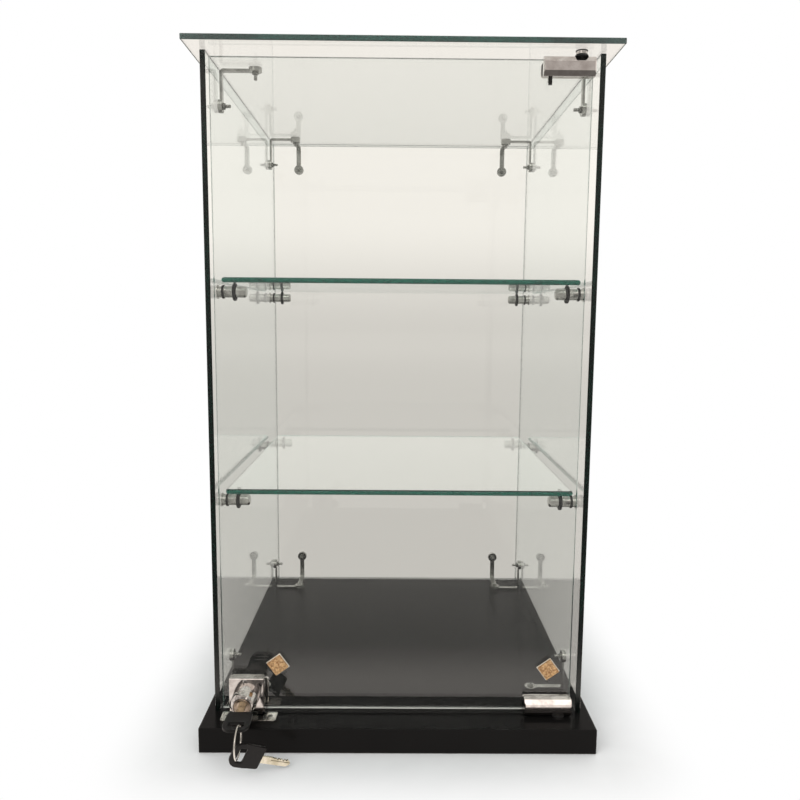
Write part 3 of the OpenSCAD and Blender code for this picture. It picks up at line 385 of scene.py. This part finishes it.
ROUNDED = {
    "base_board": (0.5, laminate, "laminate"),
    "upper_hinge_block": (1.2, chrome, "chrome"),
    "lower_hinge_block": (1.2, chrome, "chrome"),
    "lock_housing": (0.3, cast_chrome, "chrome"),
    "upper_hinge_plate": (0.3, chrome, "chrome"),
    "lower_hinge_plate": (0.3, chrome, "chrome"),
    "lock_plate": (0.3, chrome, "chrome"),
    "strike_plate": (0.15, nickel, "nickel"),
    "side_brackets_top": (0.3, strip_chrome, "bracket_chrome"),
    "side_brackets_base": (0.3, strip_chrome, "bracket_chrome"),
    "back_brackets_top": (0.3, strip_chrome, "bracket_chrome"),
    "back_brackets_base": (0.3, strip_chrome, "bracket_chrome"),
    "key_head": (0.5, plastic, "black_plastic"),
    "spare_key_head": (0.5, plastic, "black_plastic"),
    "lock_bolt": (0.15, black_steel, "black_metal"),
    "bracket_nuts": (0.15, steel, "steel"),
}
for node, (width_mm, material, slot) in ROUNDED.items():
    rounded_copy(node, width_mm, material)
print("rounded", len(ROUNDED), "solids")

# %% [markdown]
# ## Screws with a driven recess
# Every clamp screw has a hexagon socket. The four screws in the board and the two in the strike
# plate have a cross. A screw is a turned piece, so it is skinned over rings of 24 points, from
# the recess's floor over the head to the tip. The recess outline has 24 points too, which lets
# one loop bridge to the next.

# %% Skin a screw over rings
RING = 24


def circle(radius, z, count=RING):
    """Points round a circle."""
    turns = [math.tau * i / count for i in range(count)]
    return [Vector((radius * math.cos(turn), radius * math.sin(turn), z)) for turn in turns]


def outline(corners, z):
    """RING points spread along a polygon's sides, with every corner kept."""
    per_side = RING // len(corners)
    points = []
    for a, b in zip(corners, corners[1:] + corners[:1]):
        points += [a.lerp(b, i / per_side) for i in range(per_side)]
    return [Vector((p.x, p.y, z)) for p in points]


def hexagon(flats, z):
    """A socket, by the distance between its opposite sides."""
    return outline(circle(flats / math.sqrt(3), 0, 6), z)


def cross(length, width, z):
    """A cross recess, by its whole length and the width of its arms."""
    a, b = length / 2, width / 2
    arm = [Vector((a, -b)), Vector((a, b)), Vector((b, b))]
    return outline([Matrix.Rotation(math.tau * i / 4, 2) @ p for i in range(4) for p in arm], z)


def skin(name, rings, material):
    """A closed mesh over rings of RING points, from the recess floor to the tip."""
    points = [p * MM for ring in rings for p in ring]
    faces = []
    for k in range(len(rings) - 1):
        here, there = k * RING, (k + 1) * RING
        for i in range(RING):
            j = (i + 1) % RING
            faces.append((here + i, there + i, there + j, here + j))
    faces.append(tuple(range(RING)))
    faces.append(tuple(range(len(points) - 1, len(points) - RING - 1, -1)))
    mesh = bpy.data.meshes.new(name)
    mesh.from_pydata(points, [], faces)
    shape = bmesh.new()
    shape.from_mesh(mesh)
    bmesh.ops.recalc_face_normals(shape, faces=shape.faces)
    shape.to_mesh(mesh)
    shape.free()
    shade_smooth(mesh)
    mesh.materials.append(material)
    return link(name, mesh)


print("points round a hexagon and a cross:", len(hexagon(2.5, 0)), len(cross(3, 0.8, 0)))

# %% [markdown]
# ## Place repeats with Geometry Nodes
# The screws and the threads repeat at known places. Each place is a vertex that carries the
# direction the piece points in. A small tree puts the source on each vertex, turns it that way,
# makes the copies real and sets the finish, and the result is kept as one plain mesh.

# %% Build the repeat tree
def places_mesh(name, places):
    """A mesh of bare vertices with a direction each. places: (point in mm, direction)."""
    mesh = bpy.data.meshes.new(name)
    mesh.from_pydata([Vector(point) * MM for point, _ in places], [], [])
    along = mesh.attributes.new("along", "FLOAT_VECTOR", "POINT")
    along.data.foreach_set("vector", [c for _, direction in places for c in direction])
    return mesh


def turn_to_place(tree):
    """The turn from straight up to the direction that a place carries."""
    along = add(tree, "GeometryNodeInputNamedAttribute", {"Name": "along"},
        data_type="FLOAT_VECTOR")
    return add(tree, "FunctionNodeAlignRotationToVector", {"Vector": along}, axis="Z")


def new_tree(name, sockets):
    """A Geometry Nodes tree with named inputs, and its input sockets."""
    tree = bpy.data.node_groups.new(name, "GeometryNodeTree")
    for side in ("INPUT", "OUTPUT"):
        tree.interface.new_socket("Geometry", in_out=side, socket_type="NodeSocketGeometry")
    for label, kind in sockets.items():
        tree.interface.new_socket(label, in_out="INPUT", socket_type=kind)
    return tree, add(tree, "NodeGroupInput").outputs


def end_tree(tree, instances, material):
    """Makes the instances real, sets their finish and ends the tree."""
    real = add(tree, "GeometryNodeRealizeInstances", {"Geometry": instances})
    finished = add(tree, "GeometryNodeSetMaterial", {"Geometry": real, "Material": material})
    add(tree, "NodeGroupOutput", {"Geometry": finished})


def grow(name, mesh, tree, values):
    """Runs a tree on a mesh and returns the result as a plain piece."""
    seedling = link(name + "_places", mesh)
    nodes = seedling.modifiers.new("grow", "NODES")
    nodes.node_group = tree
    for item in tree.interface.items_tree:
        if item.in_out == "INPUT" and item.name in values:
            nodes[item.identifier] = values[item.name]
    bpy.context.view_layer.update()
    evaluated = seedling.evaluated_get(bpy.context.evaluated_depsgraph_get())
    grown = bpy.data.meshes.new_from_object(evaluated)
    grown.name = name
    bpy.data.objects.remove(seedling)
    return link(name, grown)


repeat_tree, repeat = new_tree("repeat_on_places", {
    "Source": "NodeSocketObject", "Material": "NodeSocketMaterial"})
source = add(repeat_tree, "GeometryNodeObjectInfo", {"Object": repeat["Source"]})
copies = add(repeat_tree, "GeometryNodeInstanceOnPoints", {"Points": repeat["Geometry"],
    "Instance": source.outputs["Geometry"], "Rotation": turn_to_place(repeat_tree)})
end_tree(repeat_tree, copies, repeat["Material"])
print("repeat tree of", len(repeat_tree.nodes), "nodes")

# %% [markdown]
# The clamp screws stand in the back of the rear plates and point forward through the glass to
# the castings. The base screws hold the bracket feet, and the feet at the back lie on those of
# the back brackets, 2.5 mm higher. The strike screws are sunk into their plate.

# %% Place the screws
PLATE_BACK = -161.2
CLAMP_POINTS = [(x, PLATE_BACK, z) for x in (138, 148) for z in (635.4, 34.6)]
CLAMP_POINTS += [(x, PLATE_BACK, 54) for x in (-160, -135)]
CLAMP_LENGTH = 15.6
CLAMP_RINGS = [hexagon(2.5, -1.5), hexagon(2.5, 0), circle(3.3, 0), circle(3.5, -0.2),
    circle(2, -1.5), circle(2, 0.4 - CLAMP_LENGTH), circle(1.6, -CLAMP_LENGTH)]

BRACKET_X = 140.5
BRACKET_YS = (-120, 155.5)
SEAT_ZS = (27.5, 30)
BASE_POINTS = [
    (side * BRACKET_X, y, z) for side in (-1, 1) for y, z in zip(BRACKET_YS, SEAT_ZS)]
BASE_RINGS = [cross(3, 0.8, 0.9), cross(3.4, 0.9, 2), circle(2.2, 1.95), circle(2.9, 1.5),
    circle(3.2, 0.8), circle(3.2, 0), circle(1.5, 0), circle(1.5, -12)]

STRIKE_TOP = 26.2
STRIKE_POINTS = [(x, -179.6, STRIKE_TOP) for x in (-166.1, -125.1)]
STRIKE_RINGS = [cross(2.6, 0.6, -1), cross(3.4, 0.9, 0), circle(2.3, 0), circle(2.65, -0.1),
    circle(1.5, -1.2), circle(1.5, -14)]

BACKWARD, UPWARD = (0, 1, 0), (0, 0, 1)
SCREWS = {
    "clamp_screws": (CLAMP_RINGS, CLAMP_POINTS, BACKWARD, "steel",
        ["upper_hinge_screws", "lower_hinge_screws", "lock_screws"]),
    "base_screws_driven": (BASE_RINGS, BASE_POINTS, UPWARD, "steel", ["base_screws"]),
    "strike_screws_driven": (STRIKE_RINGS, STRIKE_POINTS, UPWARD, "nickel", ["strike_screws"]),
}
for name, (rings, points, direction, slot, nodes) in SCREWS.items():
    screw = skin(name + "_source", rings, steel)
    places = places_mesh(name + "_places", [(point, direction) for point in points])
    screws = grow(name, places, repeat_tree, {"Source": screw, "Material": steel})
    bpy.data.objects.remove(screw)
    stand_for(screws, nodes)
    print(name, "at", len(points), "places")

# %% [markdown]
# ## Threads on the studs
# Sixteen studs stand on discs that are bonded to the glass. Their threads are a ridge wound
# round the rod: a spiral curve with a three-sided profile. One spiral is made in the tree and
# repeated on every stud.

# %% Wind the threads
GLASS_X = 176
BACK_Y = 191
ROOF_Z = 649
EYE_ZS = (60.5, 613.5)
stud_places = [((side * GLASS_X, y, z), (-side, 0, 0))
    for side in (-1, 1) for y in BRACKET_YS for z in EYE_ZS]
stud_places += [((side * BRACKET_X, BACK_Y, z), (0, -1, 0)) for side in (-1, 1) for z in EYE_ZS]
stud_places += [((side * BRACKET_X, y, ROOF_Z), (0, 0, -1))
    for side in (-1, 1) for y in BRACKET_YS]

THREAD_MM = {"Radius": 1.42, "Pitch": 0.6, "From": 4.2, "To": 11.2}
POINTS_PER_TURN = 16
RIDGE_SIDES = 3
RIDGE_SHARE = 0.45  # the ridge's radius as a share of the pitch

thread_tree, thread = new_tree("threads", {
    **dict.fromkeys(THREAD_MM, "NodeSocketFloat"), "Material": "NodeSocketMaterial"})
height = add(thread_tree, "ShaderNodeMath", {0: thread["To"], 1: thread["From"]},
    operation="SUBTRACT")
turns = add(thread_tree, "ShaderNodeMath", {0: height, 1: thread["Pitch"]}, operation="DIVIDE")
spiral = add(thread_tree, "GeometryNodeCurveSpiral", {"Resolution": POINTS_PER_TURN,
    "Rotations": turns, "Start Radius": thread["Radius"], "End Radius": thread["Radius"],
    "Height": height})
ridge_size = add(thread_tree, "ShaderNodeMath", {0: thread["Pitch"], 1: RIDGE_SHARE},
    operation="MULTIPLY")
ridge = add(thread_tree, "GeometryNodeCurvePrimitiveCircle", {
    "Resolution": RIDGE_SIDES, "Radius": ridge_size})
wound = add(thread_tree, "GeometryNodeCurveToMesh", {
    "Curve": spiral, "Profile Curve": ridge, "Fill Caps": True})
lift = add(thread_tree, "ShaderNodeCombineXYZ", {"Z": thread["From"]})
raised = add(thread_tree, "GeometryNodeTransform", {"Geometry": wound, "Translation": lift})
wound_studs = add(thread_tree, "GeometryNodeInstanceOnPoints", {"Points": thread["Geometry"],
    "Instance": raised, "Rotation": turn_to_place(thread_tree)})
end_tree(thread_tree, wound_studs, thread["Material"])

threads = grow("stud_threads", places_mesh("stud_places", stud_places), thread_tree,
    {**{name: size * MM for name, size in THREAD_MM.items()}, "Material": steel})
shade_smooth(threads.data)
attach(threads, "case")
print("threads on", len(stud_places), "studs,", len(threads.data.polygons), "faces")

# %% [markdown]
# ## Cork granules
# A cork pad is pressed from granules, which stand a little out of its cut face. The tree
# scatters squashed beads over the front face of each pad, with a fixed seed, so that the
# outline of the pad crumbles a little as the real one does.

# %% Scatter the granules
CORK_CENTRES = [(-118.3, 74.3), (147.6, 70.8)]
CORK_FACE_Y = -172.7
CORK_HALF = 7.1
CORK_TURN = Matrix.Rotation(math.radians(36), 2)
FLATTEST, FULLEST = (0.5, 0.35, 0.4), (1.3, 0.6, 1.1)
NO_SPIN, FULL_SPIN = (0, 0, 0), (0, math.tau, 0)
SCATTER = {"Density": 1.1e6, "Size": 0.75 * MM, "Seed": 4, "Material": cork_grain}

corners, quads = [], []
for cx, cz in CORK_CENTRES:
    first = len(corners)
    for u, v in ((-1, -1), (1, -1), (1, 1), (-1, 1)):
        turned = CORK_TURN @ Vector((u * CORK_HALF, v * CORK_HALF))
        corners.append(Vector((cx + turned.x, CORK_FACE_Y, cz + turned.y)) * MM)
    quads.append((first, first + 1, first + 2, first + 3))
cork_faces = bpy.data.meshes.new("cork_faces")
cork_faces.from_pydata(corners, [], quads)

grain_tree, grain = new_tree("granules", {"Density": "NodeSocketFloat",
    "Size": "NodeSocketFloat", "Seed": "NodeSocketInt", "Material": "NodeSocketMaterial"})
scatter = add(grain_tree, "GeometryNodeDistributePointsOnFaces", {"Mesh": grain["Geometry"],
    "Density": grain["Density"], "Seed": grain["Seed"]})
bead = add(grain_tree, "GeometryNodeMeshIcoSphere", {"Radius": grain["Size"], "Subdivisions": 1})
squash = add(grain_tree, "FunctionNodeRandomValue", {
    0: FLATTEST, 1: FULLEST, "Seed": grain["Seed"]}, data_type="FLOAT_VECTOR")
spin = add(grain_tree, "FunctionNodeRandomValue", {
    0: NO_SPIN, 1: FULL_SPIN, "Seed": grain["Seed"]}, data_type="FLOAT_VECTOR")
beads = add(grain_tree, "GeometryNodeInstanceOnPoints", {"Points": scatter, "Instance": bead,
    "Rotation": spin, "Scale": squash})
end_tree(grain_tree, beads, grain["Material"])

granules = grow("cork_granules", cork_faces, grain_tree, SCATTER)
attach(granules, "door")
print("granules:", len(granules.data.polygons), "faces")

# %% [markdown]
# ## Finishes for the other solids
# The rest keep their own meshes and only get a material each.

# %% Give each solid its finish
FINISHES = {
    side_glass: ["left_side_glass", "right_side_glass"],
    front_glass: ["back_glass", "door_glass"],
    top_glass: ["top_glass"],
    shelf_glass: ["upper_shelf", "lower_shelf"],
    strip_chrome: ["upper_shelf_pins", "lower_shelf_pins", "side_studs", "back_studs",
        "top_studs"],
    rubber: ["upper_support_rings", "lower_support_rings", "upper_stop_rings",
        "lower_stop_rings", "upper_pivot_pad", "upper_hinge_pads", "lower_hinge_pads",
        "lock_pads", "upper_washer", "lower_washer"],
    chrome: ["upper_pivot_cup", "lower_pivot_bush", "upper_pivot_pin", "lower_pivot_pin"],
    black_steel: ["upper_set_screw"],
    nickel: ["key_ring"],
    core_nickel: ["lock_core"],
    key_brass: ["key_blade", "spare_key_blade"],
    film: ["cork_film"],
    cork: ["cork_pads"],
}
for material, nodes in FINISHES.items():
    for node in nodes:
        mesh = frame["nodes"][node].data
        mesh.materials.clear()
        mesh.materials.append(material)
print("dressed", sum(len(nodes) for nodes in FINISHES.values()), "solids")

# %% [markdown]
# ## Floor, world and lamps
# The case stands on a white sweep, which turns into a plain white a little way off, so there is
# no horizon. Chrome and glass are only as good as what they mirror and let through, so mirror
# rays and rays through glass don't see that white, but the room that such a case is shot in:
# a warm white wall behind it, a dimmer room in front, bright paper at the case's foot, and
# daylight from a high window and a lamp strip. Through glass the room in front is a plain
# mid grey, so that the case looks as clear from behind as from the front.

# %% Tell the rays apart
WHITE = (1, 1, 1, 1)
ROOM_TONE = linear("FFF6EF")


def room_rays(tree):
    """The kinds of ray, 1 for rays off a mirror or through glass, and the colour that is seen.

    That colour is the warm tone of the room's walls for these rays, and white for all others.
    """
    rays = add(tree, "ShaderNodeLightPath")
    in_mirror = add(tree, "ShaderNodeMath", {0: rays.outputs["Is Glossy Ray"],
        1: rays.outputs["Is Transmission Ray"]}, operation="MAXIMUM")
    tone = add(tree, "ShaderNodeMix", {"Factor": in_mirror, "A": WHITE, "B": ROOM_TONE},
        data_type="RGBA")
    return rays, in_mirror, tone


def stepped(tree, value, level, steps):
    """A level that eases to a new one over each span of the value: (from, to, new level)."""
    for span_start, span_end, new_level in steps:
        level = add(tree, "ShaderNodeMapRange", {"Value": value, "From Min": span_start,
            "From Max": span_end, "To Min": level, "To Max": new_level},
            interpolation_type="SMOOTHSTEP")
    return level


# %% [markdown]
# The floor's paper takes the shadow close to the base and fades to plain white over 100 mm,
# counted from the base's outline. In a mirror it is bright at the foot of the case, where the
# lock and the lower hinge show it, and dim further off.

# %% Make the floor
FLOOR_RADIUS = 14
BASE_HALF = (0.19, 0.2, 0)
SHADOW_FADE = [(0, 0.1, 1)]
FLOOR_IN_FRONT, FOOT = 0.16, [(-0.38, -0.27, 1.22)]
FLOOR_BEHIND, FAR_FLOOR = 0.69, [(2, 8, 0.76)]
UNDER_CASE = (-0.15, 0.15)
THROUGH_FLOOR = 0.7
FIBRES = {"size_mm": 30, "detail": 2}

floor_mesh = bpy.data.meshes.new("floor")
floor_shape = bmesh.new()
bmesh.ops.create_circle(floor_shape, cap_ends=True, radius=FLOOR_RADIUS, segments=96)
floor_shape.to_mesh(floor_mesh)
floor_shape.free()
floor = link("floor", floor_mesh)

sweep, paper = start("white_paper_sweep")
place = add(paper, "ShaderNodeTexCoord").outputs["Object"]
from_middle = add(paper, "ShaderNodeVectorMath", {0: place}, operation="ABSOLUTE")
past_base = add(paper, "ShaderNodeVectorMath", {0: from_middle, 1: BASE_HALF},
    operation="SUBTRACT")
outside = add(paper, "ShaderNodeVectorMath", {0: past_base, 1: (0, 0, 0)}, operation="MAXIMUM")
distance = add(paper, "ShaderNodeVectorMath", {0: outside}, operation="LENGTH")
fade = stepped(paper, distance, 0, SHADOW_FADE)
fibres = noise(paper, **FIBRES)
fibre_tones = add(paper, "ShaderNodeValToRGB", {"Fac": fibres},
    stops=zip(TONES_AT, ("F6F6F5", "F9F9F8")))
matte = add(paper, "ShaderNodeBsdfDiffuse", {"Color": fibre_tones})

rays, in_mirror, tone = room_rays(paper)
to_back = add(paper, "ShaderNodeSeparateXYZ", {0: place}).outputs["Y"]
front_floor = add(paper, "ShaderNodeMix", {"Factor": rays.outputs["Is Transmission Ray"],
    "A": stepped(paper, to_back, FLOOR_IN_FRONT, FOOT), "B": THROUGH_FLOOR})
back_floor = stepped(paper, to_back, FLOOR_BEHIND, FAR_FLOOR)
room_floor = stepped(paper, to_back, front_floor, [(*UNDER_CASE, back_floor)])
brightness = add(paper, "ShaderNodeMix", {"Factor": in_mirror, "A": 1.0, "B": room_floor})
glow = add(paper, "ShaderNodeEmission", {"Color": tone, "Strength": brightness})
glowing = add(paper, "ShaderNodeMath", {0: fade, 1: in_mirror}, operation="MAXIMUM")
surface = add(paper, "ShaderNodeMixShader", {"Fac": glowing, 1: matte, 2: glow})
add(paper, "ShaderNodeOutputMaterial", {"Surface": surface})
floor_mesh.materials.append(sweep)
print("floor of", FLOOR_RADIUS, "m radius")

# %% [markdown]
# The world's brightness goes by the direction of the ray. Behind the case the wall brightens
# upwards and has a dark band, which the rear of the board mirrors, with a bright ceiling over
# it. In front, the room is dim apart from the window and the lamp strip.

# %% Light the world
WORLD_LIGHT = 0.8
WALL_FOOT, WALL = 0.75, [(-0.03, 0.13, 1.08), (0.34, 0.4, 0.15), (0.43, 0.47, 0.9)]
ROOM_FOOT, ROOM = 0.3, [(0.12, 0.3, 0.55), (0.36, 0.5, 0.26)]
FRONT_TO_BACK = (-0.3, 0.1)
THROUGH_ROOM = 0.62
HIGH_WINDOW = (-0.42, 0.16, 0.42, 0.16, 0.02)
LAMP_STRIP = (0.05, 0.5, 0.7, 0.19, 0.01)
DAYLIGHT = 1.8

world = bpy.data.worlds.new("studio")
bpy.context.scene.world = world
world.use_nodes = True
sky = world.node_tree
sky.nodes.clear()
direction = add(sky, "ShaderNodeTexCoord").outputs["Generated"]
towards = add(sky, "ShaderNodeSeparateXYZ", {0: direction}).outputs


def patch(middle_x, half_x, middle_z, half_z, soft):
    """A soft-edged bright patch in the room in front, by its direction."""
    sides = []
    for axis, middle, half in (("X", middle_x, half_x), ("Z", middle_z, half_z)):
        off = add(sky, "ShaderNodeMath", {0: towards[axis], 1: middle}, operation="SUBTRACT")
        away = add(sky, "ShaderNodeMath", {0: off}, operation="ABSOLUTE")
        sides.append(stepped(sky, away, 1, [(half - soft, half + soft, 0)]))
    return add(sky, "ShaderNodeMath", {0: sides[0], 1: sides[1]}, operation="MULTIPLY")


rays, in_mirror, tone = room_rays(sky)
window = add(sky, "ShaderNodeMath", {0: patch(*HIGH_WINDOW), 1: patch(*LAMP_STRIP)},
    operation="MAXIMUM")
daylight = add(sky, "ShaderNodeMath", {0: window, 1: DAYLIGHT}, operation="MULTIPLY")
dim_room = add(sky, "ShaderNodeMix", {"Factor": rays.outputs["Is Transmission Ray"],
    "A": stepped(sky, towards["Z"], ROOM_FOOT, ROOM), "B": THROUGH_ROOM})
front = add(sky, "ShaderNodeMath", {0: dim_room, 1: daylight}, operation="MAXIMUM")
wall = stepped(sky, towards["Z"], WALL_FOOT, WALL)
room_level = stepped(sky, towards["Y"], front, [(*FRONT_TO_BACK, wall)])
open_level = add(sky, "ShaderNodeMix", {
    "Factor": rays.outputs["Is Camera Ray"], "A": WORLD_LIGHT, "B": 1.0})
brightness = add(sky, "ShaderNodeMix", {"Factor": in_mirror, "A": open_level, "B": room_level})
back = add(sky, "ShaderNodeBackground", {"Color": tone, "Strength": brightness})
add(sky, "ShaderNodeOutputWorld", {"Surface": back})
print("world light", WORLD_LIGHT)

# %% [markdown]
# Two soft lamps give the front and the top their shape. They stay out of the mirrors, which
# have the room's window instead.

# %% Set the lamps
TARGET = Vector((0, -0.1, 0.3))
LAMPS = {  # place, side of the square and watts
    "key": ((-1.6, -2.0, 2.2), 1.6, 22),
    "top": ((0.4, 0.2, 2.6), 2.0, 12),
}
for name, (centre, side, watts) in LAMPS.items():
    data = bpy.data.lights.new(name, "AREA")
    data.shape = "SQUARE"
    data.size = side
    data.energy = watts
    lamp = bpy.data.objects.new(name, data)
    lamp.location = centre
    lamp.rotation_euler = (TARGET - Vector(centre)).to_track_quat("-Z", "Y").to_euler()
    lamp.visible_camera = lamp.visible_glossy = lamp.visible_transmission = False
    bpy.context.scene.collection.objects.link(lamp)
print("set", len(LAMPS), "lamps")

# %% [markdown]
# ## Render settings
# Light that runs along a pane is mirrored by its faces a dozen times before it reaches the
# other edge, so more bounces are allowed than usual. Focused light patterns are left out,
# because the panes already let the lamps through.

# %% Set bounces and view
scene = bpy.context.scene
scene.view_settings.view_transform = "Standard"
scene.cycles.max_bounces = 32
scene.cycles.transmission_bounces = 32
scene.cycles.glossy_bounces = 28
scene.cycles.transparent_max_bounces = 32
scene.cycles.caustics_reflective = False
scene.cycles.caustics_refractive = False
print("up to", scene.cycles.max_bounces, "bounces")
